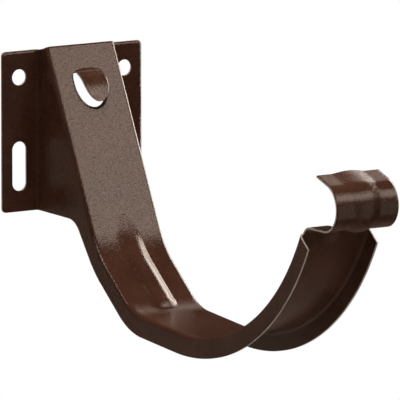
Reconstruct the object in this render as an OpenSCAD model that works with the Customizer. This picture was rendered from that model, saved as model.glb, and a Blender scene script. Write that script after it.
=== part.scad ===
// Gutter bracket, pressed and folded from one thin sheet.
// A hat-shaped back screws to the wall, its sloping front runs down into a
// channel-shaped cradle under the half-round gutter, and a narrower tab at the
// end curls over the gutter's front bead.
//
// X runs along the wall, Y points into the wall and Z points up. The origin is
// on the wall, midway between the two round screw holes.

/* [Sheet] */
// Thickness of the sheet
sheet_t = 0.6; // [0.5:0.1:1]
// Inside radius of every long fold
fold_r = 0.9; // [0.5:0.1:1.5]

/* [Wall plate] */
// Width over both wall flanges
plate_w = 52; // [48:1:64]
// Height of the wall flanges
plate_h = 52; // [48:1:60]
// Radius of the outer corners of the wall flanges
plate_corner_r = 1.4; // [0.5:0.1:3]
// Diameter of the round screw holes
hole_d = 5.2; // [4:0.1:6]
// Distance between the centres of the left and right holes
hole_spacing = 39.2; // [38:0.2:42]
// Distance of the round holes below the top edge
hole_drop = 8.5; // [6:0.5:12]
// Width of the upright slots
slot_w = 5.2; // [4:0.1:6]
// Length of the upright slots over their round ends
slot_l = 16; // [10:0.5:20]
// Distance of the slot centres below the round holes
slot_drop = 28.8; // [24:0.2:31]

/* [Arm] */
// Outside width of the arm
arm_w = 25.6; // [23:0.2:28]
// Distance of the top edge of the face from the wall
face_reach = 6.1; // [5:0.1:9]
// Height of the top edge of the face above the wall flanges
face_rise = 1.5; // [0.5:0.1:3]
// Slope of the face below the horizontal
face_angle = 63; // [58:0.5:68]
// Length of the sloping face down to the upper bend
face_l = 62.5; // [58:0.5:70]
// Radius of the upper bend on the gutter side
upper_bend_r = 31; // [20:1:40]
// Slope of the short run between the two bends
middle_angle = 37; // [33:0.5:42]
// Length of the short run between the two bends
middle_l = 14.2; // [8:0.2:20]
// Radius of the lower bend on the gutter side
lower_bend_r = 19; // [12:1:26]
// Slope of the seat under the back of the gutter
seat_angle = 4; // [2:0.5:10]
// Length of the seat before the cradle's curve
seat_l = 20.4; // [12:0.2:30]
// Radius of the cradle, which is the gutter's own radius
cradle_r = 75; // [65:0.5:85]
// Slope at which the cradle ends at the front
cradle_end = 64; // [58:0.5:70]
// Depth of the side flanges behind the gutter-side surface
flange_depth = 6.5; // [5:0.1:9]
// Cut-back of the flanges' front ends, away from square
flange_end_slant = 12; // [0:1:20]
// Slope of the side edge where the webs run into the flanges
gusset_angle = 52; // [48:0.5:56]
// Radius where the lower edge of the webs turns down
web_corner_r = 8; // [4:0.5:12]

/* [Curl] */
// Width of the tab that curls over the gutter's bead
tab_w = 22.4; // [18:0.2:23]
// Radius of the crest between the cradle and the tab, gutter side
crest_r = 4.4; // [3:0.1:7]
// Length of the tab's level run
tab_l = 7.6; // [4:0.1:12]
// Inside radius of the curl
curl_r = 7.2; // [5:0.1:10]
// Angle through which the tab is curled
curl_angle = 162; // [140:1:175]
// Length of the straight tip after the curl
tip_l = 6.6; // [3:0.1:9]

// Width of the stiffening bead pressed along the tab
bead_w = 9; // [6:0.2:12]
// Height of that bead
bead_h = 1; // [0.7:0.1:1.6]
// Length over which the bead rises before the tab
bead_rise = 5; // [3:0.2:8]

/* [Rib] */
// Width of the stiffening rib pressed across the upper bend
rib_w = 8.4; // [6:0.2:12]
// Height of that rib
rib_h = 1.6; // [1:0.1:2.5]
// Distance of the rib's upper tip above the upper bend
rib_lead = 5.3; // [3:0.1:8]
// Length over which the rib grows from its tip to its full size
rib_taper = 12.4; // [8:0.5:16]
// Length over which its lower end rounds off
rib_close = 4; // [2:0.2:5]
// Distance of its lower end before the lower bend
rib_stop = 0.6; // [0.4:0.1:2]
// Radius of the two corners at its lower end
rib_corner_r = 2.6; // [1.5:0.1:4]

/* [Tongue] */
// Distance of the tongue's root below the top edge of the face
tongue_drop = 9; // [6:0.2:14]
// Width of the U-shaped opening behind the tongue
window_w = 10.8; // [8:0.2:14]
// Length of that opening
window_l = 12.6; // [9:0.2:18]
// Trim between the tongue and the opening's edge
tongue_trim = 0.8; // [0.4:0.1:1.5]
// Distance by which the tongue's tip stands out from the face
tongue_out = 2.9; // [2:0.1:4]
// Angle by which the tongue leaves the face
tongue_kick = 35; // [30:1:45]
// Radius of the bend at the tongue's root
tongue_root_r = 1.5; // [0.8:0.1:3]

/* [Hidden] */
$fn = 96;
coat = "#4a3127";
past = 1;    // how far a cutting shape runs past what it cuts
step = 2;    // degrees between the points of a bend
tongue_press = 0.02;  // by how much pressing thins the tongue on each face
window_set = 0.1;     // how far the opening starts below the bend of the tongue
plate_top = hole_drop;
plate_bottom = hole_drop - plate_h;
fold_out_r = fold_r + sheet_t;
half_arm = arm_w / 2;

// The arm's side view is a chain of straight runs and bends, in the plane of
// reach (first number, out from the wall) and height (second number). It
// follows the gutter-side surface. Headings are in degrees from level.
function ahead(a) = [cos(a), sin(a)];
function left_of(a) = [-sin(a), cos(a)];

face_head = -face_angle;
middle_head = -middle_angle;
seat_head = -seat_angle;
face_top = [face_reach, plate_top + face_rise];
face_end = face_top + face_l * ahead(face_head);
upper_centre = face_end + upper_bend_r * left_of(face_head);
middle_start = upper_centre - upper_bend_r * left_of(middle_head);
middle_end = middle_start + middle_l * ahead(middle_head);
lower_centre = middle_end + lower_bend_r * left_of(middle_head);
seat_start = lower_centre - lower_bend_r * left_of(seat_head);
seat_end = seat_start + seat_l * ahead(seat_head);
cradle_centre = seat_end + cradle_r * left_of(seat_head);
cradle_tip = cradle_centre - cradle_r * left_of(cradle_end);
crest_centre = cradle_tip - crest_r * left_of(cradle_end);
tab_start = crest_centre + crest_r * left_of(0);
tab_end = tab_start + tab_l * ahead(0);
curl_centre = tab_end + curl_r * left_of(0);
curl_tip = curl_centre - curl_r * left_of(curl_angle);
tip_end = curl_tip + tip_l * ahead(curl_angle);

// The webs reach from the face back to the wall.
web_depth = face_end[0] / sin(face_angle);
web_wall = sheet_t + fold_r;
edge_r = upper_bend_r + flange_depth;
edge_meet = upper_centre - edge_r * left_of(-gusset_angle);
web_corner = [
    edge_meet[0] - (plate_bottom - edge_meet[1]) / tan(gusset_angle),
    plate_bottom
];
corner_run = web_corner_r * tan(gusset_angle / 2);
web_turn = web_corner - [corner_run, web_corner_r];

// The tongue leaves the face in one bend and comes back parallel in another.
// Its points are in the face's own frame: distance down the face, then out.
tongue_root = [tongue_drop, 0];
tongue_back_r = tongue_out / (1 - cos(tongue_kick)) - tongue_root_r;
tongue_w = window_w - 2 * tongue_trim;
tongue_l = window_l - 2 * tongue_trim;
tongue_out_c = tongue_root + tongue_root_r * left_of(0);
tongue_turn = tongue_out_c - tongue_root_r * left_of(tongue_kick);
tongue_back_c = tongue_turn - tongue_back_r * left_of(tongue_kick);
tongue_flat = tongue_back_c + tongue_back_r * left_of(0);

// ---- the side view as stations: a point of the gutter-side surface and the
// ---- heading there

function bend_left(centre, r, a, b) = let (n = ceil((b - a) / step))
    [for (i = [0:n]) let (h = a + (b - a) * i / n) [centre - r * left_of(h), h]];
function bend_right(centre, r, a, b) = let (n = ceil((a - b) / step))
    [for (i = [0:n]) let (h = a + (b - a) * i / n) [centre + r * left_of(h), h]];

cradle_stations = concat(
    bend_left(upper_centre, upper_bend_r, -gusset_angle, middle_head),
    bend_left(lower_centre, lower_bend_r, middle_head, seat_head),
    bend_left(cradle_centre, cradle_r, seat_head, cradle_end)
);
arm_stations = concat(
    [[face_top, face_head]],
    bend_left(upper_centre, upper_bend_r, face_head, -gusset_angle - step / 2),
    cradle_stations,
    bend_right(crest_centre, crest_r, cradle_end - step, 0),
    bend_left(curl_centre, curl_r, 0, curl_angle),
    [[tip_end + past * ahead(curl_angle), curl_angle]]
);
tongue_stations = concat(
    [[tongue_root - [2 * sheet_t, 0], 0]],
    bend_left(tongue_out_c, tongue_root_r, 0, tongue_kick - step),
    bend_right(tongue_back_c, tongue_back_r, tongue_kick, 0),
    [[tongue_flat + window_l * ahead(0), 0]]
);

function behind(stations, depth) = [for (s = stations) s[0] - depth * left_of(s[1])];
function backwards(list) = [for (i = [len(list) - 1:-1:0]) list[i]];

// A station given in the face's own frame, seen in the side view
function on_face(s) = [
    face_top + s[0][0] * ahead(face_head) + s[0][1] * left_of(face_head),
    s[1] + face_head
];

// A sheet seen from the side, given its gutter-side stations and by how much
// each of its faces is drawn in
module sheet_profile(stations, thin = 0)
    polygon(concat(behind(stations, thin), backwards(behind(stations, sheet_t - thin))));

// Stands a side view on the arm's middle plane, w wide about a distance off it
module across(w, off = 0)
    rotate([90, 0, -90]) translate([0, 0, off - w / 2]) linear_extrude(w) children();

// ---- the long strip that the arm is bent from

// A U outline down the face: straight sides, then half an ellipse
function u_outline(w, l, lead) = concat(
    [[-lead, w / 2]],
    [for (a = [90:-7.5:-90]) [0.3 * l + 0.7 * l * cos(a), w / 2 * sin(a)]],
    [[-lead, -w / 2]]
);

// A prism of that outline, standing through the face, its straight end a lead
// above the tongue's root
module through_face(w, l, lead)
    rotate([90, 0, -90]) translate(face_top) rotate(face_head)
        translate([tongue_drop, -2 * sheet_t]) rotate([-90, 0, 0])
            linear_extrude(4 * sheet_t + 2 * tongue_out) polygon(u_outline(w, l, lead));

module tongue()
    intersection() {
        across(arm_w)
            sheet_profile([for (s = tongue_stations) on_face(s)], tongue_press);
        through_face(tongue_w, tongue_l, sheet_t);
    }

// What lies beyond the slanted front end of one side flange
module beyond_cradle(side)
    rotate([90, 0, -90]) translate(cradle_tip)
        rotate([0, 0, cradle_end - 90 - flange_end_slant])
            translate([-cradle_r, 0, side * (tab_w / 2 + arm_w) - arm_w])
                cube([2 * cradle_r, cradle_r, 2 * arm_w]);

// ---- the rib and the bead: bands of the strip pressed out of it

sink = 0.4 * sheet_t;      // how deep in the sheet a band's crest begins
band_floor = 0.7 * sheet_t;  // how deep in it the band's floor lies

// How far along the stations each one lies
function walked(stations, i = 0, sum = 0) = i == len(stations) ? [] :
    let (here = sum + (i == 0 ? 0 : norm(stations[i][0] - stations[i - 1][0])))
    concat([here], walked(stations, i + 1, here));

// A crest's height at a distance from its start, where it rises out of the
// sheet, and at what is left before its end, where it rounds off into it
function rising(h, d, length) = d >= length ? h :
    (h + sink) * (1 - pow(1 - d / length, 2)) - sink;
function closing(h, left, length) = left >= length ? h :
    (h + sink) * sqrt(max(0, 1 - pow(1 - left / length, 2))) - sink;

// Side view between a crest, at the heights above the gutter side, and a floor
module band_profile(stations, crest, floor_h) {
    last = len(stations) - 1;
    polygon(concat(
        [for (i = [0:last]) stations[i][0] + crest[i] * left_of(stations[i][1])],
        [for (i = [last:-1:0]) stations[i][0] + floor_h * left_of(stations[i][1])]
    ));
}

rib_tip = face_end - rib_lead * ahead(face_head);
rib_wide = rib_tip + rib_taper * ahead((face_head + middle_head) / 2);
rib_end = middle_end - rib_stop * ahead(middle_head);
rib_full_l = middle_l - rib_stop - rib_close;
rib_full = middle_start + rib_full_l * ahead(middle_head);
rib_stations = concat(
    [for (i = [0:8]) [rib_tip + rib_lead * i / 8 * ahead(face_head), face_head]],
    bend_left(upper_centre, upper_bend_r, face_head, middle_head),
    [for (i = [1:8]) [middle_start + rib_full_l * i / 8 * ahead(middle_head), middle_head]],
    [for (a = [10:10:90]) [rib_full + rib_close * sin(a) * ahead(middle_head), middle_head]]
);
rib_walk = walked(rib_stations);
rib_heights = [
    for (d = rib_walk)
        min(rising(rib_h, d, rib_taper), closing(rib_h, rib_walk[len(rib_walk) - 1] - d, rib_close))
];
rib_half_a = atan(rib_w / 2 / (rib_tip[1] - rib_wide[1]));

bead_turn = bead_rise / cradle_r * 180 / PI;
bead_stations = concat(
    bend_left(cradle_centre, cradle_r, cradle_end - bead_turn, cradle_end),
    bend_right(crest_centre, crest_r, cradle_end - step, 0),
    bend_left(curl_centre, curl_r, 0, curl_angle),
    [[tip_end + past * ahead(curl_angle), curl_angle]]
);
bead_heights = [for (d = walked(bead_stations)) rising(bead_h, d, bead_rise)];

// The rib's outline seen from the gutter, narrowed all round by an inset; its
// lower corners are round
module rib_outline(inset) {
    half = rib_w / 2 - inset;
    r = rib_corner_r - inset;
    low = rib_end[1] - rib_stop + inset;
    right = concat(
        [[0, rib_tip[1] - inset / sin(rib_half_a)]],
        [[half, rib_wide[1] - inset * tan(rib_half_a / 2)]],
        [for (a = [0:10:90]) [half - r + r * cos(a), low + r - r * sin(a)]]
    );
    polygon(concat(right, [for (p = backwards(right)) if (p[0] > 0) [-p[0], p[1]]]));
}

// The rib, raised towards the gutter: its outer shape, or with an inset of one
// thickness the hollow behind it
module rib(inset) {
    floor_h = inset > 0 ? -sheet_t - past : -band_floor;
    intersection() {
        across(rib_w + 2 * past) band_profile(rib_stations, [for (h = rib_heights) h - inset], floor_h);
        rotate([90, 0, 0]) linear_extrude(middle_end[0] + arm_w) rib_outline(inset);
    }
}

// The bead, raised away from the gutter, in the same way
module bead(inset)
    across(bead_w - 2 * inset)
        band_profile(bead_stations, [for (h = bead_heights) inset - sheet_t - h],
            inset > 0 ? past : band_floor - sheet_t);

// What lies past the straight end of the curl
module beyond_tip()
    rotate([90, 0, -90]) translate(tip_end) rotate([0, 0, curl_angle])
        translate([0, -curl_r / 2, -tab_w]) cube([2 * past, curl_r, 2 * tab_w]);

// ---- the side plates: web and side flange in one piece

module side_plate_profile()
    polygon(concat(
        // top edge, then down the front just inside the strip
        [for (i = [0:8]) let (u = i / 8)
            [web_wall + u * (face_top[0] - web_wall),
             plate_top + face_rise * u * u * (3 - 2 * u)]],
        behind([arm_stations[0]], sheet_t / 2),
        behind(front_stations, sheet_t / 2),
        backwards(behind(cradle_stations, flange_depth)),
        [for (i = [ceil(gusset_angle / step):-1:0])
            let (a = 90 - gusset_angle * i / ceil(gusset_angle / step))
            web_turn + web_corner_r * [cos(a), sin(a)]],
        [[web_wall, plate_bottom]]
    ));
front_stations = concat(
    bend_left(upper_centre, upper_bend_r, face_head, -gusset_angle - step / 2),
    cradle_stations
);

module side_plate(side)
    across(sheet_t, side * (half_arm - sheet_t / 2)) side_plate_profile();

// ---- the wall flanges

// One wall flange, seen square on: x along the wall and y up
module flange_outline() {
    start = half_arm + fold_r;
    difference() {
        union() {
            translate([start, plate_bottom])
                square([plate_w / 2 - plate_corner_r - start, plate_h]);
            translate([start, plate_bottom + plate_corner_r])
                square([plate_w / 2 - start, plate_h - 2 * plate_corner_r]);
            for (z = [plate_bottom + plate_corner_r, plate_top - plate_corner_r])
                translate([plate_w / 2 - plate_corner_r, z]) circle(plate_corner_r);
        }
        translate([hole_spacing / 2, 0]) circle(d = hole_d);
        translate([hole_spacing / 2, -slot_drop]) {
            square([slot_w, slot_l - slot_w], center = true);
            for (end = [-1, 1])
                translate([0, end * (slot_l - slot_w) / 2]) circle(d = slot_w);
        }
    }
}

// A wall flange and the fold that joins it to its web
module wall_flange() {
    rotate([90, 0, 0]) linear_extrude(sheet_t) flange_outline();
    translate([half_arm + fold_r, -web_wall, plate_bottom])
        rotate([0, 0, 90]) upright_fold();
}

// The quarter ring of the upright fold, from the web round to the flange
module upright_fold()
    linear_extrude(plate_h)
        intersection() {
            difference() {
                circle(fold_out_r);
                circle(fold_r);
            }
            square(fold_out_r + past);
        }

// ---- the whole sheet

module bracket()
    color(coat) {
        difference() {
            union() {
                across(arm_w) sheet_profile(arm_stations);
                for (side = [-1, 1]) side_plate(side);
                rib(0);
                bead(0);
            }
            rib(sheet_t);
            bead(sheet_t);
            beyond_tip();
            through_face(window_w, window_l, -window_set);
            for (side = [-1, 1]) beyond_cradle(side);
        }
        tongue();
        for (side = [0, 1]) mirror([side, 0, 0]) wall_flange();
    }

bracket();
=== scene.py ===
import math

import bmesh
import bpy
import numpy as np
from mathutils import Matrix, Vector


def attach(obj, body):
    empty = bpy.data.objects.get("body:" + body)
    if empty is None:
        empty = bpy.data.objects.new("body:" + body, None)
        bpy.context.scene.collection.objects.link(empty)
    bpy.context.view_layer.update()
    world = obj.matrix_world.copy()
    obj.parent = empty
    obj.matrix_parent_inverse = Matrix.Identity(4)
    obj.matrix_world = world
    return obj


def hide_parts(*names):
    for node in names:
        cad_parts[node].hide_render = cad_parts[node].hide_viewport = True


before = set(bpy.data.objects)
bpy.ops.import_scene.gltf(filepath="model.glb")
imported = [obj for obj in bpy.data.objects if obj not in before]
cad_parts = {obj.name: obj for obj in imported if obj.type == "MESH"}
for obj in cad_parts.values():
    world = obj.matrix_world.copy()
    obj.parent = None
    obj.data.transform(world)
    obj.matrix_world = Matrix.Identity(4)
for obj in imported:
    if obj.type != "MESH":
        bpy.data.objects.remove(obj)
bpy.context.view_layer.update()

# ---------------------------------------------------------------- sizes, in millimetres
# x runs along the wall, -y out from it and z up. A side view's points are (reach,
# height), where reach is -y and height is z. The skin is the side of the sheet that
# the gutter lies on, l is the length along it from the top of the arm, and the rest
# of the sheet's thickness lies behind it.

MM = 0.001                          # metres in a millimetre
TINY = 1e-9                         # allowance for rounding
SHEET_T = 0.6                       # thickness of the sheet
FOLD_IN = 0.9                       # inner radius of every fold
FOLD_OUT = FOLD_IN + SHEET_T
HALF_ARM = 12.8                     # half the arm's width over its side plates
HALF_FLAT = HALF_ARM - FOLD_OUT     # half the flat between its folds
HALF_TAB = 11.2                     # half the width of the tab and the curl
HALF_PLATE = 26.0                   # half the width over both wall flanges
PLATE_TOP, PLATE_BOTTOM = 8.5, -43.5
PLATE_CORNER = 1.4                  # radius of a wall flange's corners
HOLE_X, HOLE_R = 19.6, 2.6          # hole and slot: middle line, half their width
SLOT_Z, SLOT_HALF_RUN = -28.8, 5.4  # the slot's middle, half its straight length
WALL_REACH = SHEET_T + FOLD_IN      # where a web ends and its upright fold begins
FLANGE_DEPTH = 6.5                  # side flange behind the skin
END_SLANT = math.radians(12)        # its slanted front end,
END_SLANT_RUN = 12.0                # which is eased in over this length
GUSSET_HEAD = math.radians(-52)     # way down of the gusset's edge
GUSSET_R = 8.0                      # radius between it and the web's bottom


def arc(radius, turn):
    """A bend's length, its radius times the angle, and its turn in degrees."""
    return radius * math.radians(abs(turn)), turn


# The arm's side view: each run's length and the turn it makes, in degrees,
# positive towards the gutter
START, START_HEAD = (6.1, 10.0), math.radians(-63)
UPPER_BEND_R = 31
RUNS = [
    ("face", 62.5, 0), ("upper bend", *arc(UPPER_BEND_R, 26)),
    ("middle", 14.2, 0), ("lower bend", *arc(19, 33)),
    ("seat", 20.4, 0), ("cradle", *arc(75, 68)),
    ("crest", *arc(4.4, -64)), ("tab", 7.6, 0),
    ("curl", *arc(7.2, 162)), ("tip", 6.6, 0),
]
RUN_START = dict(zip([r[0] for r in RUNS], np.cumsum([0] + [r[1] for r in RUNS[:-1]])))
END = sum(r[1] for r in RUNS)
CRADLE_TIP = RUN_START["crest"]
TAB_NARROWS = 0.6                   # length in which the strip narrows to the tab

# The window is a U punched through the face, and the tongue a smaller U pushed out
# of it. A U's sides are straight for a share of its length, and then it is half an
# ellipse.
WINDOW_ROOT, WINDOW_HALF, WINDOW_L = 9.55, 5.4, 11.7
U_STRAIGHT = 0.3
ROLL, ROLL_WIDE = 0.55, 1.1         # the U's edge is rolled back by this, so wide
TONGUE_HALF, TONGUE_L, TONGUE_OUT = 4.5, 10.9, 2.9
TONGUE_LEAN = 0.5                   # the punch has pushed it this far to the right
TONGUE_BEND = 7.6                   # length in which it bends back level
TONGUE_CROWN = 0.12                 # its edges lie this far back from its middle
LENS_L, LENS_OUT = 1.35, 0.45       # sheet drawn outwards above the tongue's root
LENS_HALF = WINDOW_HALF - 0.1
CREASE, CREASE_WIDE = 0.3, 0.25     # crease along the root

# The rib is pressed towards the gutter, over both bends
RIB_TIP, RIB_END = RUN_START["upper bend"] - 5.3, RUN_START["lower bend"] + 6.2
RIB_HALF, RIB_POINT = 4.9, 0.8      # half its full width, and half that of its tip
RIB_H = 1.8
RIB_SPREAD, RIB_CLIMB = 9, 22       # length from the tip to full width, to full height
RIB_ROOF_TO_ROUND = 4, 12           # lengths from the tip where its section changes
RIB_ROUND_END = 3.8                 # length of its round lower end
RIDGE_SOFT = 0.0015                 # share that rounds the roof's ridge

# The bead is pressed away from the gutter, along the tab and the curl
BEAD_HALF, BEAD_H = 4.6, 1.0
BEAD_RISE = 5.0                     # its first length, on the cradle
BEAD_WIDER, BEAD_SETTLE = 0.32, 0.3     # shares it gains and loses towards the tip
BEAD_WAVE, BEAD_WAVE_TURN = 0.05, 0.55  # share it waves by, radians per mm


def ease(x, a, b):
    """3t^2 - 2t^3 for t = (x - a) / (b - a), held between 0 and 1."""
    t = np.clip((x - a) / (b - a), 0, 1)
    return t * t * (3 - 2 * t)


def arm_line(l):
    """Points and headings of the arm's side view at lengths l from its top. On a
    run of length n that turns by w, heading is h = h0 + l w / n, and the point is
    the integral of (cos h, sin h): a straight line or a circle's arc."""
    l = np.asarray(l, float)
    point, heading = np.zeros(l.shape + (2,)), np.zeros(l.shape)
    at, head, gone = np.array(START), START_HEAD, 0.0
    for i, (_, length, turn) in enumerate(RUNS):
        bend = math.radians(turn) / length

        def step(d):
            if not bend:
                return np.stack([d * math.cos(head), d * math.sin(head)], -1)
            return np.stack([np.sin(head + bend * d) - math.sin(head),
                             math.cos(head) - np.cos(head + bend * d)], -1) / bend

        here = (l >= gone - TINY) if i else np.ones(l.shape, bool)
        d = np.where(here, l - gone, 0)
        point[here] = (at + step(d))[here]
        heading[here] = (head + bend * d)[here]
        at, head, gone = at + step(np.array(length)), head + bend * length, gone + length
    return point, heading


def skin(l, x, depth=0.0, lift=0.0):
    """Points of the arm's skin: the arm line's point at l, moved by lift - depth
    along the line's left-hand normal (-sin h, cos h), at x."""
    l, x, off = np.broadcast_arrays(l, x, np.asarray(lift) - depth)
    point, h = arm_line(l)
    side = point + off[..., None] * np.stack([-np.sin(h), np.cos(h)], -1)
    return np.stack([x, -side[..., 0], side[..., 1]], -1)


def rib_lift(l, x):
    """Height of the rib: a dart, whose half width and height grow with the length d
    past its tip, as ease^0.75 from 1 mm before it and as ease from 3 mm before it.
    The first 1 mm eases the height in. t is the distance from the crest line over
    the half width, where the crest line stops short of the rib's end, so that the
    end is round. The section goes from a roof 1 - t with a soft ridge at the tip to
    a round (1 - t^2.6)^1.7."""
    d = l - RIB_TIP
    half = RIB_POINT + (RIB_HALF - RIB_POINT) * ease(d, -1.0, RIB_SPREAD) ** 0.75
    rise = ease(d, -3.0, RIB_CLIMB) * ease(d, 0, 1)
    past = np.clip((l - RIB_END + RIB_ROUND_END) / RIB_ROUND_END, 0, 2)
    t = np.clip(np.sqrt((x / half) ** 2 + past ** 2), 0, 1)
    roof = 1 - np.sqrt(t * t * (1 - RIDGE_SOFT) + RIDGE_SOFT)
    round_top = (1 - t ** 2.6) ** 1.7
    mix = ease(d, *RIB_ROOF_TO_ROUND)
    return RIB_H * rise * ((1 - mix) * roof + mix * round_top) * (d > 0)


def bead_lift(l, x):
    """Height of the bead, which is below the skin: an eased rise from the last of
    the cradle to 1.5 mm past it, then a round section (1 - t^2)^1.6 all along the
    tab and the curl, where t is the distance from the middle over the half width.
    On the curl it waves as a sine. It widens from 6 mm and settles from 8 mm past
    the curl's start, as eased curves that end 4 mm before the strip does."""
    curl = RUN_START["curl"]
    h = BEAD_H * ease(l, CRADLE_TIP - BEAD_RISE, CRADLE_TIP + 1.5)
    half = BEAD_HALF * (1 + BEAD_WIDER * ease(l, curl + 6, END - 4))
    t = np.clip(np.abs(x) / half, 0, 1)
    wave = BEAD_WAVE * np.sin((l - curl) * BEAD_WAVE_TURN) * ease(l, curl, END - 6)
    settle = 1 - BEAD_SETTLE * ease(l, curl + 8, END - 4)
    return -h * (1 - BEAD_WAVE + wave) * settle * (1 - t * t) ** 1.6


def lens_lift(l, x):
    """The sheet above the tongue's root is drawn outwards. Across, all of it goes
    as an ellipse over the root. Upwards, its height is t^1.3 with t falling from 1
    at the root to 0 at the lens's edge, less the crease exp(-distance / width)."""
    share = np.sqrt(np.clip(1 - (x / LENS_HALF) ** 2, 0, 1))
    up = WINDOW_ROOT - l
    t = np.clip(1 - up / np.maximum(LENS_L * share, TINY), 0, 1)
    crease = CREASE * np.exp(-np.abs(up) / CREASE_WIDE)
    return (LENS_OUT * t ** 1.3 - crease) * share * (up >= -TINY)


def press(l, x):
    """Height of the rib and the bead together above the strip's flat skin."""
    return rib_lift(l, x) + bead_lift(l, x)


# ---------------------------------------------------------------- patches of the skin

def grid_faces(rows, columns, skip=None):
    """Quads of a grid of rows x columns points, numbered row by row. skip is
    (first row, last row, first column, last column) of an opening."""
    r, c = np.meshgrid(np.arange(rows - 1), np.arange(columns - 1), indexing="ij")
    if skip:
        keep = ~((r >= skip[0]) & (r < skip[1]) & (c >= skip[2]) & (c < skip[3]))
        r, c = r[keep], c[keep]
    a = (r * columns + c).ravel()
    return np.stack([a, a + 1, a + columns + 1, a + columns], -1)


def grid_patch(points, skip=None, wear=0.0):
    """A patch from an array of rows x columns x 3 points. wear is the share of its
    coat that is rubbed, one number or one for each point."""
    rows, columns = points.shape[:2]
    return {"points": points.reshape(-1, 3), "faces": grid_faces(rows, columns, skip),
            "wear": np.broadcast_to(wear, (rows, columns)).ravel()}


def rows_between(a, b, n):
    """n equal steps from a to b, without a itself."""
    return a + (b - a) * np.arange(1, n + 1) / n


# Lengths of the rows across the arm. As far as the wall flanges reach they match the
# flanges' rows. The next ones fan out to the web's bottom, to its corner and to the
# gusset, and CORNER_L is where each of these begins and the last one ends. The counts
# keep the rows 0.6 mm apart or less, and 0.9 mm along the plain cradle.
PLATE_ROWS = 104
CORNER_L = [57.0, 58.94, 62.09, RUN_START["upper bend"] + UPPER_BEND_R * math.radians(11)]
CORNER_ROWS = [22, 14, 18]
PLATE_L = np.concatenate([[0.0], rows_between(0, CORNER_L[0], PLATE_ROWS)])
CORNER = [rows_between(a, b, n) for a, b, n in zip(CORNER_L, CORNER_L[1:], CORNER_ROWS)]
RIB_ROWS_END, BEAD_ROWS = RIB_END + 1, CRADLE_TIP - BEAD_RISE - 1
CHANNEL_L = np.concatenate([rows_between(CORNER_L[-1], RIB_ROWS_END, 50),
                            rows_between(RIB_ROWS_END, BEAD_ROWS, 125),
                            rows_between(BEAD_ROWS, CRADLE_TIP, 16)])
SIDE_L = np.concatenate([PLATE_L] + CORNER + [CHANNEL_L])
CURL_L = np.concatenate([rows_between(CRADLE_TIP, RUN_START["tab"], 14),
                         rows_between(RUN_START["tab"], END, 84)])

# Widths of the columns along the arm, closer over its middle, where it is pressed.
# The first column stands before the others, because rows_between leaves it out.
PRESSED_HALF = 6.3
COLUMNS = np.concatenate([[-HALF_FLAT], rows_between(-HALF_FLAT, -PRESSED_HALF, 7),
                          rows_between(-PRESSED_HALF, PRESSED_HALF, 42),
                          rows_between(PRESSED_HALF, HALF_FLAT, 7)])
WINDOW_ROWS, WINDOW_COLUMNS = (11, 43), (7, 49)   # the rectangle round the window


def strip_patch():
    """The long strip: skin points over lengths x widths, lifted by what is pressed
    into it, without the rectangle round the window. Past the cradle its widths
    shrink to the tab's by an eased share."""
    l = np.concatenate([SIDE_L, CURL_L])[:, None]
    narrow = ease(l, CRADLE_TIP, CRADLE_TIP + TAB_NARROWS)
    x = COLUMNS[None, :] * (1 + narrow * (HALF_TAB / HALF_FLAT - 1))
    return grid_patch(skin(l, x, lift=press(l, x)), skip=WINDOW_ROWS + WINDOW_COLUMNS)


def slanted(l, depth):
    """Lengths moved back by depth tan(slant) at the cradle's front end, eased in
    before it, so that the side flange ends on a slant."""
    return l - depth * math.tan(END_SLANT) * ease(l, CRADLE_TIP - END_SLANT_RUN, CRADLE_TIP)


def quarter(steps):
    """Angles of a quarter circle in equal steps."""
    return np.radians(90) * np.arange(steps + 1) / steps


def long_fold(side):
    """The fold along one edge of the strip: a quarter circle of the outer radius R,
    carried along the arm: x = half flat + R sin a, depth = R (1 - cos a)."""
    a = quarter(7)
    l = SIDE_L[:, None]
    depth = FOLD_OUT * (1 - np.cos(a))[None, :]
    x = side * (HALF_FLAT + FOLD_OUT * np.sin(a))[None, :]
    return grid_patch(skin(slanted(l, depth), x, depth=depth))


def side_view(points):
    """The points (reach, height) of an array of points (x, y, z)."""
    return points[..., [1, 2]] * [-1, 1]


def far_edge():
    """Side view of the side plate's free edge, a point for each row: down the wall,
    along the bottom, round the corner, down the gusset, and then along the flange
    at its depth. The gusset's line ends in the flange's edge, and the corner is a
    circle's arc that touches this line and the bottom."""
    foot = side_view(skin(CORNER_L[-1], 0, depth=FLANGE_DEPTH))
    normal = np.array([-math.sin(GUSSET_HEAD), math.cos(GUSSET_HEAD)])
    along = np.array([math.cos(GUSSET_HEAD), math.sin(GUSSET_HEAD)])
    centre = foot - GUSSET_R * normal
    centre = centre - along * (PLATE_BOTTOM - GUSSET_R - centre[1]) / -along[1]
    wall = np.stack([np.full(PLATE_ROWS + 1, WALL_REACH),
                     np.linspace(PLATE_TOP, PLATE_BOTTOM, PLATE_ROWS + 1)], -1)
    t = [rows_between(0, 1, n)[:, None] for n in CORNER_ROWS]
    bottom = wall[-1] + t[0] * (np.array([centre[0], PLATE_BOTTOM]) - wall[-1])
    a = math.pi / 2 + t[1] * GUSSET_HEAD
    corner = centre + GUSSET_R * np.concatenate([np.cos(a), np.sin(a)], -1)
    gusset = corner[-1] + t[2] * (foot - corner[-1])
    flange = side_view(skin(slanted(CHANNEL_L, FLANGE_DEPTH), 0, depth=FLANGE_DEPTH))
    return np.concatenate([wall, bottom, corner, gusset, flange])


def side_plate(side):
    """Web and side flange: straight rows (1 - t) near + t far at x = half the arm's
    width, from the long fold's edge to the plate's free edge."""
    near = side_view(skin(slanted(SIDE_L, FOLD_OUT), 0, depth=FOLD_OUT))
    t = np.linspace(0, 1, 14)[None, :, None]
    row = near[:, None] * (1 - t) + far_edge()[:, None] * t
    x = np.full(row.shape[:2], side * HALF_ARM)
    return grid_patch(np.stack([x, -row[..., 0], row[..., 1]], -1))


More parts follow.
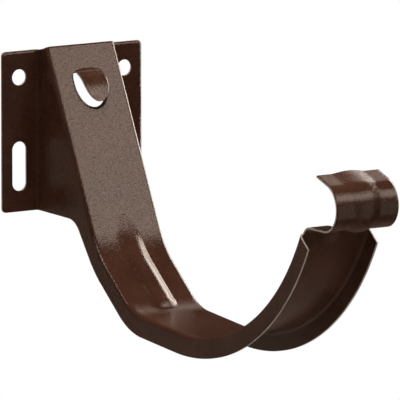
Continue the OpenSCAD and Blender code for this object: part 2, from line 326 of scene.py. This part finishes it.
def upright_fold(side):
    """The fold from the web round to the wall flange, straight up: a quarter circle
    of the inner radius r, x = half arm + r - r cos a, reach = sheet + r - r sin a."""
    a = quarter(6)
    z = np.linspace(PLATE_TOP, PLATE_BOTTOM, PLATE_ROWS + 1)[:, None]
    x = side * (HALF_ARM + FOLD_IN - FOLD_IN * np.cos(a))[None, :]
    reach = (WALL_REACH - FOLD_IN * np.sin(a))[None, :]
    x, reach, z = np.broadcast_arrays(x, reach, z)
    return grid_patch(np.stack([x, -reach, z], -1))


def rings_between(outer, inner, rings, power):
    """Rings of points between two outlines with the same number of points:
    outer + (inner - outer) (1 - (1 - t)^power), each closed on itself."""
    t = 1 - (1 - np.arange(rings + 1) / rings) ** power
    points = outer[None] + (inner - outer)[None] * t[:, None, None]
    return np.concatenate([points, points[:, :1]], 1)


def rectangle(xs, ys):
    """A grid's edge as one outline: along the first row, down the last column, back
    along the last row and up the first column, a point at each grid line."""
    return np.concatenate([
        np.stack([xs[:-1], np.full(len(xs) - 1, ys[0])], -1),
        np.stack([np.full(len(ys) - 1, xs[-1]), ys[:-1]], -1),
        np.stack([xs[:0:-1], np.full(len(xs) - 1, ys[-1])], -1),
        np.stack([np.full(len(ys) - 1, xs[0]), ys[:0:-1]], -1)])


def round_corners(p):
    """Moves the outline's points near the flange's two free corners on to a circle
    of the corner's radius: centre + R (p - centre) / |p - centre|."""
    for z, way in ((PLATE_TOP, -1), (PLATE_BOTTOM, 1)):
        centre = np.array([HALF_PLATE - PLATE_CORNER, z + way * PLATE_CORNER])
        off = p - centre
        near = (off[:, 0] > 0) & (off[:, 1] * way < 0)
        far = np.maximum(np.linalg.norm(off, axis=1), TINY)[:, None]
        p = np.where(near[:, None], centre + PLATE_CORNER * off / far, p)
    return p


HOLE_ROWS, SLOT_ROWS = (0, 31), (48, PLATE_ROWS)   # rows with rings round an opening


def wall_flange(side):
    """The wall flange: rings of points from a rectangle in to the round hole, and
    from another in to the slot, with a plain grid between them. An opening's
    outline is the points at its radius from its middle line, which is one point
    for the round hole."""
    z = np.linspace(PLATE_TOP, PLATE_BOTTOM, PLATE_ROWS + 1)
    x = np.linspace(HALF_ARM + FOLD_IN, HALF_PLATE, 21)
    patches = []
    for (first, last), middle, half_run in ((HOLE_ROWS, 0.0, 0.0),
                                            (SLOT_ROWS, SLOT_Z, SLOT_HALF_RUN)):
        outer = rectangle(x, z[first:last + 1])
        line = middle + np.clip(outer[:, 1] - middle, -half_run, half_run)
        axis = np.stack([np.full(len(outer), HOLE_X), line], -1)
        off = outer - axis
        inner = axis + HOLE_R * off / np.linalg.norm(off, axis=1)[:, None]
        patches.append(rings_between(round_corners(outer), inner, 7, 1.5))
    patches.append(np.stack(np.meshgrid(x, z[HOLE_ROWS[1]:SLOT_ROWS[0] + 1]), -1))
    y = -SHEET_T
    return [grid_patch(np.stack([side * p[..., 0], np.full(p.shape[:2], y), p[..., 1]], -1))
            for p in patches]


def u_half(a, half, length):
    """Half width of a U at a below its root: straight, then half (1 - t^2)^0.5,
    which is half an ellipse."""
    t = np.clip((a - U_STRAIGHT * length) / ((1 - U_STRAIGHT) * length), 0, 1)
    return half * np.sqrt(1 - t * t)


def window_outline(outer):
    """The window's outline, a point for each point of the rectangle round it: where
    the line from near the window's middle to that point crosses the U, found by
    halving the line 40 times."""
    centre = np.array([0.0, WINDOW_ROOT + 0.48 * WINDOW_L])
    off = outer - centre
    low, high = np.zeros(len(outer)), np.ones(len(outer))
    for _ in range(40):
        mid = (low + high) / 2
        p = centre + off * mid[:, None]
        a = p[:, 1] - WINDOW_ROOT
        inside = (a > 0) & (a < WINDOW_L) & (np.abs(p[:, 0]) < u_half(a, WINDOW_HALF, WINDOW_L))
        low, high = np.where(inside, mid, low), np.where(inside, high, mid)
    return centre + off * low[:, None]


def window_rings():
    """The strip round the window as widths and lengths, before it is lifted."""
    outer = rectangle(COLUMNS[WINDOW_COLUMNS[0]:WINDOW_COLUMNS[1] + 1],
                      PLATE_L[WINDOW_ROWS[0]:WINDOW_ROWS[1] + 1])
    return rings_between(outer, window_outline(outer), 14, 1.7)


def window_patch():
    """The strip round the window: rings from the rectangle in to the U, lifted by
    the lens above the root, and rolled back along the U's edge by roll
    (1 - d / width)^2 at a distance d from it, which is eased in below the root."""
    p = window_rings()
    gap = np.hypot(p[..., 0] - p[-1:, :, 0], p[..., 1] - p[-1:, :, 1])
    roll = ROLL * np.clip(1 - gap / ROLL_WIDE, 0, 1) ** 2
    roll = roll * ease(p[..., 1] - WINDOW_ROOT, 0.2, 1.5)
    return grid_patch(skin(p[..., 1], p[..., 0], lift=lens_lift(p[..., 1], p[..., 0]) - roll))


def tongue_patch():
    """The tongue: a U whose rows run across it, from the points of the window's root
    line. a is the length below the root. In the side view it leaves the root
    outwards and bends back level with the face, height = out (1 - (1 - a / bend)^2.6),
    while the height of the lens and of the root's crease fade as exp(-a / length).
    Its edges lie back by crown (x / half)^2. The punch has rubbed its coat."""
    edge = window_rings()[-1, :-1]
    root = edge[(edge[:, 1] < WINDOW_ROOT + TINY)
                & (np.abs(edge[:, 0] - TONGUE_LEAN) < TONGUE_HALF + 0.1)]
    root = np.sort(root[:, 0])
    middle, half = (root[0] + root[-1]) / 2, (root[-1] - root[0]) / 2
    across = ((root - middle) / half)[None, :]
    # Rows, close together in the first part and again towards the tip
    first = 0.3
    t = np.concatenate([np.linspace(0, first, 22)[:-1],
                        first + (1 - first) * np.sin(np.linspace(0, np.pi / 2, 36))])[:, None]
    a = t * TONGUE_L
    x = middle + across * u_half(a, half, TONGUE_L)
    start = lens_lift(np.full(root.shape, WINDOW_ROOT), root)[None, :]
    share = start / (LENS_OUT - CREASE)
    fade = np.exp(-a / 1.2)
    rise = TONGUE_OUT * (1 - (1 - np.clip(a / TONGUE_BEND, 0, 1)) ** 2.6)
    lift = rise * (1 - 0.2 * fade) + LENS_OUT * share * fade
    lift = lift - CREASE * share * np.exp(-a / CREASE_WIDE)
    lift = lift - TONGUE_CROWN * (x / TONGUE_HALF) ** 2 * ease(a, 1, 6)
    wear = ease(a, 2.5, 7.5) * np.ones_like(x)
    return grid_patch(skin(WINDOW_ROOT + a, x, lift=lift), wear=wear)


MERGE, SLIVER = 0.02 * MM, 0.005 * MM   # points and edges closer or shorter than these
FACE_SPOT = Vector((9, -20, -20)) * MM  # a place close to the arm's face


def sheet_mesh(name, patches):
    """One mesh from the patches: they are set side by side, their common points are
    merged, and the normals are turned to the gutter's side, which at the arm's
    face is out from the wall."""
    start = np.cumsum([0] + [len(p["points"]) for p in patches[:-1]])
    points = np.concatenate([p["points"] for p in patches]) * MM
    faces = np.concatenate([p["faces"] + s for p, s in zip(patches, start)])
    wear = np.concatenate([p["wear"] for p in patches])
    mesh = bpy.data.meshes.new(name)
    mesh.vertices.add(len(points))
    mesh.vertices.foreach_set("co", points.ravel())
    mesh.loops.add(faces.size)
    mesh.loops.foreach_set("vertex_index", faces.ravel())
    mesh.polygons.add(len(faces))
    mesh.polygons.foreach_set("loop_start", np.arange(0, faces.size, 4))
    mesh.polygons.foreach_set("loop_total", np.full(len(faces), 4))
    mesh.attributes.new("wear", "FLOAT", "POINT").data.foreach_set("value", wear)
    mesh.update(calc_edges=True)
    mesh.validate()
    work = bmesh.new()
    work.from_mesh(mesh)
    bmesh.ops.remove_doubles(work, verts=work.verts, dist=MERGE)
    bmesh.ops.dissolve_degenerate(work, dist=SLIVER, edges=work.edges)
    bmesh.ops.recalc_face_normals(work, faces=work.faces)
    work.normal_update()
    face = min(work.faces, key=lambda f: (f.calc_center_median() - FACE_SPOT).length)
    if face.normal.y > 0:
        bmesh.ops.reverse_faces(work, faces=work.faces)
    for f in work.faces:
        f.smooth = True
    work.to_mesh(mesh)
    work.free()
    return mesh


# ---------------------------------------------------------------- finishes

def tint(code):
    """Linear colour of an sRGB hex code."""
    c = np.array([int(code[i:i + 2], 16) for i in (1, 3, 5)]) / 255
    c = np.where(c <= 0.04045, c / 12.92, ((c + 0.055) / 1.055) ** 2.4)
    return (*c, 1.0)


def add(tree, kind, inputs=(), **settings):
    """A node with its settings. inputs is pairs of socket and value, or of socket
    and the output socket that feeds it. A socket is given by its name, or by its
    place where names repeat, as in Mix: 0 the factor, 6 and 7 the colours."""
    node = tree.nodes.new(kind)
    for key, value in settings.items():
        setattr(node, key, value)
    for socket, value in inputs:
        if isinstance(value, bpy.types.NodeSocket):
            tree.links.new(value, node.inputs[socket])
        else:
            node.inputs[socket].default_value = value
    return node


def empty_tree(owner):
    """The node tree of a material or a world, with nothing in it."""
    owner.use_nodes = True
    owner.node_tree.nodes.clear()
    return owner.node_tree


def finish_tree(name):
    """A new material: its tree, its shader, and the object's own coordinates."""
    mat = bpy.data.materials.new(name)
    tree = empty_tree(mat)
    shader = add(tree, "ShaderNodeBsdfPrincipled")
    add(tree, "ShaderNodeOutputMaterial", [("Surface", shader.outputs["BSDF"])])
    place = add(tree, "ShaderNodeTexCoord").outputs["Object"]
    return mat, tree, shader, place


def per_metre(size):
    """A noise's scale, from the size of one of its humps in mm: 1 / size."""
    return 1 / (size * MM)


# Sizes of the patterns, in mm. The peel, the drift and the waves have widths that are
# usual for such a coat. Scores and the marks of a shear are finer than about 0.1 mm,
# and are drawn as coarse as they need to show. The heights are judged, and are more
# than a real coat's.
GRAIN, GRAIN_HIGH = 10 / 23, 0.085      # orange peel of the baked coat
FINE, FINE_HIGH = 10 / 52, 0.012        # finer peel on it
CLOUD = 100 / 7                         # drift of the colour and the gloss
WAVE, WAVE_HIGH = 500 / 19, 0.6         # waves that the rolls leave in the sheet
SCORE_GAP, SCORE_LONG = 0.33, 4.0       # scores on the tongue: between two, along one
SCORE_DEEP = 0.06
SCORE_ACROSS = np.array((0.858, 0.231, 0.4455))   # way across them
SCORE_ALONG = np.array((0.48, -0.40, -0.80))      # and along them
SHEAR_MARK, SHEAR_HIGH = 10 / 30, 0.04  # marks of the shear on the cut edge
ZINC_PATCH = 6.25                       # paler and darker places on it
FLOOR_CLOUD = 100 / 3                   # clouding of the floor


def polyester_coat():
    """Dark brown polyester coil coat, baked on galvanised strip before it is pressed.
    The bake leaves a fine orange peel, so highlights break up into grains that glint
    unevenly, and the rolls leave faint long waves in the sheet. Pressing scores the
    coat on the tongue, where the punch has rubbed it paler. The colour is a mix of
    two browns by the drift, times the grain's specks, then mixed to the rubbed one
    by scores x wear. The roughness follows the drift and the specular level the
    grain. Each bump adds to the one before it."""
    mat, tree, shader, place = finish_tree("polyester_coat_on_galvanised_steel")
    grain = add(tree, "ShaderNodeTexNoise", [
        ("Vector", place), ("Scale", per_metre(GRAIN)), ("Detail", 1.5)])
    fine = add(tree, "ShaderNodeTexNoise", [
        ("Vector", place), ("Scale", per_metre(FINE)), ("Detail", 1.0)])
    cloud = add(tree, "ShaderNodeTexNoise", [
        ("Vector", place), ("Scale", per_metre(CLOUD)), ("Detail", 3.0)])
    waves = add(tree, "ShaderNodeTexNoise", [
        ("Vector", place), ("Scale", per_metre(WAVE)), ("Detail", 1.0)])

    # The scores' noise is read at (distance across, distance along), each over its size
    over = add(tree, "ShaderNodeVectorMath", [
        (0, place), (1, SCORE_ACROSS * per_metre(SCORE_GAP))], operation="DOT_PRODUCT")
    along = add(tree, "ShaderNodeVectorMath", [
        (0, place), (1, SCORE_ALONG * per_metre(SCORE_LONG))], operation="DOT_PRODUCT")
    on_scores = add(tree, "ShaderNodeCombineXYZ", [
        ("X", over.outputs["Value"]), ("Y", along.outputs["Value"])])
    score = add(tree, "ShaderNodeTexNoise", [
        ("Vector", on_scores.outputs["Vector"]), ("Scale", 1.0), ("Detail", 2.0),
        ("Roughness", 0.6)])
    scored = add(tree, "ShaderNodeMapRange", [
        ("Value", score.outputs["Fac"]), ("From Min", 0.5), ("From Max", 0.68)])
    wear = add(tree, "ShaderNodeAttribute", attribute_name="wear")
    worn = add(tree, "ShaderNodeMath", [
        (0, scored.outputs["Result"]), (1, wear.outputs["Fac"])], operation="MULTIPLY")

    drift = add(tree, "ShaderNodeMapRange", [
        ("Value", cloud.outputs["Fac"]), ("From Min", 0.3), ("From Max", 0.7)])
    brown = add(tree, "ShaderNodeMix", [
        (0, drift.outputs["Result"]), (6, tint("#452a20")), (7, tint("#523428"))],
        data_type="RGBA")
    specks = add(tree, "ShaderNodeMapRange", [
        ("Value", grain.outputs["Fac"]), ("From Min", 0.35), ("From Max", 0.7),
        ("To Min", 0.82), ("To Max", 1.2)])
    speckled = add(tree, "ShaderNodeHueSaturation", [
        ("Value", specks.outputs["Result"]), ("Color", brown.outputs[2])])
    rubbed = add(tree, "ShaderNodeMix", [
        (0, worn.outputs["Value"]), (6, speckled.outputs["Color"]), (7, tint("#8f7464"))],
        data_type="RGBA")

    glint = add(tree, "ShaderNodeMapRange", [
        ("Value", grain.outputs["Fac"]), ("From Min", 0.3), ("From Max", 0.7),
        ("To Min", 0.40), ("To Max", 0.76)])
    gloss = add(tree, "ShaderNodeMapRange", [
        ("Value", cloud.outputs["Fac"]), ("From Min", 0.3), ("From Max", 0.7),
        ("To Min", 0.07), ("To Max", 0.11)])

    peel = add(tree, "ShaderNodeBump", [
        ("Height", grain.outputs["Fac"]), ("Strength", 1.0), ("Distance", GRAIN_HIGH * MM)])
    skinned = add(tree, "ShaderNodeBump", [
        ("Height", fine.outputs["Fac"]), ("Strength", 1.0), ("Distance", FINE_HIGH * MM),
        ("Normal", peel.outputs["Normal"])])
    rolled = add(tree, "ShaderNodeBump", [
        ("Height", waves.outputs["Fac"]), ("Strength", 0.35), ("Distance", WAVE_HIGH * MM),
        ("Normal", skinned.outputs["Normal"])])
    cut = add(tree, "ShaderNodeBump", [
        ("Height", worn.outputs["Value"]), ("Strength", 0.4), ("Distance", SCORE_DEEP * MM),
        ("Normal", rolled.outputs["Normal"])])

    tree.links.new(rubbed.outputs[2], shader.inputs["Base Color"])
    tree.links.new(gloss.outputs["Result"], shader.inputs["Roughness"])
    # The export drops the link here. The socket's own value is the grains' mean, for
    # use where the link is not kept
    shader.inputs["Specular IOR Level"].default_value = 0.58
    tree.links.new(glint.outputs["Result"], shader.inputs["Specular IOR Level"])
    tree.links.new(cut.outputs["Normal"], shader.inputs["Normal"])
    shader.inputs["Specular Tint"].default_value = tint("#fffaf2")
    return mat


def sheared_edge():
    """The edge left by the shear, cut through coat and zinc: a pale matt steel with
    the shear's fine marks on it. The colour is a mix of two greys by the patches, and
    roughness and bump follow the marks."""
    mat, tree, shader, place = finish_tree("sheared_galvanised_edge")
    marks = add(tree, "ShaderNodeTexNoise", [
        ("Vector", place), ("Scale", per_metre(SHEAR_MARK)), ("Detail", 2.0)])
    patches = add(tree, "ShaderNodeTexNoise", [
        ("Vector", place), ("Scale", per_metre(ZINC_PATCH)), ("Detail", 2.0)])
    colour = add(tree, "ShaderNodeMix", [
        (0, patches.outputs["Fac"]), (6, tint("#a89c8f")), (7, tint("#e6dccd"))],
        data_type="RGBA")
    rough = add(tree, "ShaderNodeMapRange", [
        ("Value", marks.outputs["Fac"]), ("To Min", 0.4), ("To Max", 0.6)])
    bump = add(tree, "ShaderNodeBump", [
        ("Height", marks.outputs["Fac"]), ("Strength", 0.4), ("Distance", SHEAR_HIGH * MM)])
    tree.links.new(colour.outputs[2], shader.inputs["Base Color"])
    tree.links.new(rough.outputs["Result"], shader.inputs["Roughness"])
    tree.links.new(bump.outputs["Normal"], shader.inputs["Normal"])
    shader.inputs["Metallic"].default_value = 0.25
    return mat


# ---------------------------------------------------------------- the bracket

def new_object(name, data):
    """An object of this data, linked to the scene."""
    made = bpy.data.objects.new(name, data)
    bpy.context.scene.collection.objects.link(made)
    return made


def pressed_sheet():
    """The whole folded sheet: its skin in one mesh, then moved by its thickness
    against the normal for the other side, away from the gutter. The rim between the
    two is the sheared edge."""
    patches = [strip_patch(), window_patch(), tongue_patch()]
    for side in (-1, 1):
        patches += [long_fold(side), side_plate(side), upright_fold(side)] + wall_flange(side)
    piece = new_object("pressed_sheet", sheet_mesh("pressed_sheet", patches))
    piece.data.materials.append(polyester_coat())
    piece.data.materials.append(sheared_edge())
    wall = piece.modifiers.new("thickness", "SOLIDIFY")
    wall.thickness = SHEET_T * MM
    wall.offset = -1
    wall.use_even_offset = False
    wall.use_rim = True
    wall.material_offset_rim = 1
    return piece


sheet = pressed_sheet()
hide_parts("bracket")
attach(sheet, "root")


# ---------------------------------------------------------------- studio, in metres

PART_MIDDLE = Vector((0.0, -0.085, -0.03))


def soft_box(name, way, distance, wide, high, power, lights=True, mirrored=True):
    """A slightly warm area lamp at middle + distance way / |way|, whose -Z looks at
    the part's middle. It may only light the part, or only be mirrored in the coat."""
    data = bpy.data.lights.new(name, "AREA")
    data.shape, data.size, data.size_y, data.energy = "RECTANGLE", wide, high, power
    data.color = tint("#fff1e6")[:3]
    lamp = new_object(name, data)
    lamp.visible_camera, lamp.visible_diffuse, lamp.visible_glossy = False, lights, mirrored
    place = PART_MIDDLE + Vector(way).normalized() * distance
    turn = (PART_MIDDLE - place).normalized().to_track_quat("-Z", "Y")
    lamp.matrix_world = Matrix.Translation(place) @ turn.to_matrix().to_4x4()


# The sheen of the sloping face, and the band on the curl
soft_box("front_box", (0.25, -0.74, 0.61), 0.9, 1.30, 0.42, 4.7, lights=False)
soft_box("curl_card", (0.042, -0.160, -0.020), 0.167, 0.085, 0.10, 0.010, lights=False)
# The coat's own colour, lit from the front and from above
soft_box("front_fill", (0.72, -0.45, 0.53), 0.9, 0.7, 0.5, 0.5, mirrored=False)
soft_box("top_fill", (0.1, -0.06, 1.0), 0.9, 0.7, 0.6, 7.0, mirrored=False)
# The sheen along the rib's right side and the arm's right fold, and on the rib's left
soft_box("right_box", (0.92, 0.27, 0.20), 1.0, 0.84, 0.88, 13.0, lights=False)
soft_box("left_high_box", (-0.69, -0.02, 0.70), 1.0, 0.35, 0.35, 2.0, lights=False)
# The pale band where the lower bend runs out into the seat
soft_box("back_box", (0.592, 0.592, 0.545), 1.0, 0.25, 0.50, 0.36, lights=False)

BACKDROP_WAY = (-0.50, 0.86, -1.2)      # below and behind the part, on its left


def studio_world():
    """Plain soft light all round, whose strength grows with the direction's height.
    The coat mirrors a warm backdrop instead, whose strength grows with the dot
    product of the direction and the backdrop's way. Seen directly all is white."""
    world = bpy.data.worlds.new("studio")
    bpy.context.scene.world = world
    tree = empty_tree(world)
    path = add(tree, "ShaderNodeLightPath")
    way = add(tree, "ShaderNodeTexCoord").outputs["Generated"]
    height = add(tree, "ShaderNodeSeparateXYZ", [("Vector", way)]).outputs["Z"]
    level = add(tree, "ShaderNodeMapRange", [
        ("Value", height), ("From Min", -0.3), ("From Max", 0.8),
        ("To Min", 0.03), ("To Max", 0.42)])
    room = add(tree, "ShaderNodeBackground", [
        ("Color", tint("#ffffff")), ("Strength", level.outputs["Result"])])
    towards = add(tree, "ShaderNodeVectorMath", [(0, way), (1, BACKDROP_WAY)],
                  operation="DOT_PRODUCT")
    behind = add(tree, "ShaderNodeMapRange", [
        ("Value", towards.outputs["Value"]), ("From Min", 0.4), ("From Max", 1.0),
        ("To Min", 0.02), ("To Max", 0.17)])
    backdrop = add(tree, "ShaderNodeBackground", [
        ("Color", tint("#ffe9d6")), ("Strength", behind.outputs["Result"])])
    white = add(tree, "ShaderNodeBackground", [("Color", tint("#ffffff")), ("Strength", 1.0)])
    seen = add(tree, "ShaderNodeMath", [
        (0, path.outputs["Is Camera Ray"]), (1, path.outputs["Is Transmission Ray"])],
        operation="MAXIMUM")
    lit = add(tree, "ShaderNodeMixShader", [
        (0, path.outputs["Is Glossy Ray"]), (1, room.outputs[0]), (2, backdrop.outputs[0])])
    both = add(tree, "ShaderNodeMixShader", [
        (0, seen.outputs[0]), (1, lit.outputs[0]), (2, white.outputs[0])])
    add(tree, "ShaderNodeOutputWorld", [("Surface", both.outputs[0])])


studio_world()

FLOOR_R, FLOOR_Z = 0.7, -0.32
FLOOR_RINGS, FLOOR_RAYS = 9, 97
FLOOR_OWN_WHITE = 0.86                  # share of plain white where it is seen directly


def floor():
    """A pale studio floor well below the part: a disc as a grid of radius r and angle
    a, (r cos a, r sin a). Seen directly it is nearly white, and its shadow stays."""
    angle = np.linspace(0, 2 * np.pi, FLOOR_RAYS)
    radius = np.linspace(0.0, FLOOR_R, FLOOR_RINGS)[:, None]
    points = np.stack([radius * np.cos(angle), radius * np.sin(angle),
                       np.full((FLOOR_RINGS, FLOOR_RAYS), FLOOR_Z)], -1).reshape(-1, 3)
    mesh = bpy.data.meshes.new("floor")
    mesh.from_pydata(points.tolist(), [], grid_faces(FLOOR_RINGS, FLOOR_RAYS).tolist())
    disc = new_object("floor", mesh)
    mat = bpy.data.materials.new("pale_studio_floor")
    tree = empty_tree(mat)
    place = add(tree, "ShaderNodeTexCoord").outputs["Object"]
    noise = add(tree, "ShaderNodeTexNoise", [
        ("Vector", place), ("Scale", per_metre(FLOOR_CLOUD))])
    pale = add(tree, "ShaderNodeMix", [
        (0, noise.outputs["Fac"]), (6, tint("#e3e3e3")), (7, tint("#efefef"))],
        data_type="RGBA")
    lit = add(tree, "ShaderNodeBsdfDiffuse", [("Color", pale.outputs[2])])
    path = add(tree, "ShaderNodeLightPath")
    white = add(tree, "ShaderNodeEmission", [("Color", tint("#ffffff")), ("Strength", 1.0)])
    share = add(tree, "ShaderNodeMath", [
        (0, path.outputs["Is Camera Ray"]), (1, FLOOR_OWN_WHITE)], operation="MULTIPLY")
    both = add(tree, "ShaderNodeMixShader", [
        (0, share.outputs[0]), (1, lit.outputs[0]), (2, white.outputs[0])])
    add(tree, "ShaderNodeOutputMaterial", [("Surface", both.outputs[0])])
    mesh.materials.append(mat)
    disc.visible_glossy = False


floor()

# The camera looks in from the left and a little from above, through a long lens. The
# anchor is a point on the wall, in mm, and from the camera it lies this far to the
# right, above the middle of the view, and away.
CAMERA_TURN, CAMERA_DOWN = math.radians(31.5), math.radians(9.63)
ANCHOR = Vector((0, 0, -21.07))
ANCHOR_RIGHT, ANCHOR_UP, ANCHOR_AWAY = -41.36, 20.21, 3035
SENSOR, LENS = 36.0, 851.31             # in mm
CLIP = 0.1, 100.0                       # in metres


def camera():
    """The camera: look = (sin t cos d, cos t cos d, -sin d) for the turn t and the
    slope d, and its place is the anchor less (right, up, look) times the anchor's
    distances."""
    look = Vector((math.sin(CAMERA_TURN) * math.cos(CAMERA_DOWN),
                   math.cos(CAMERA_TURN) * math.cos(CAMERA_DOWN), -math.sin(CAMERA_DOWN)))
    right = Vector((math.cos(CAMERA_TURN), -math.sin(CAMERA_TURN), 0))
    up = right.cross(look)
    place = ANCHOR - (ANCHOR_RIGHT * right + ANCHOR_UP * up + ANCHOR_AWAY * look)
    data = bpy.data.cameras.new("camera")
    data.sensor_fit, data.sensor_width = "HORIZONTAL", SENSOR
    data.lens = LENS
    data.clip_start, data.clip_end = CLIP
    data.dof.use_dof = False
    cam = new_object("camera", data)
    basis = Matrix((right, up, -look)).transposed().to_4x4()
    cam.matrix_world = Matrix.Translation(place * MM) @ basis
    bpy.context.scene.camera = cam


camera()
bpy.context.scene.view_settings.view_transform = "Standard"
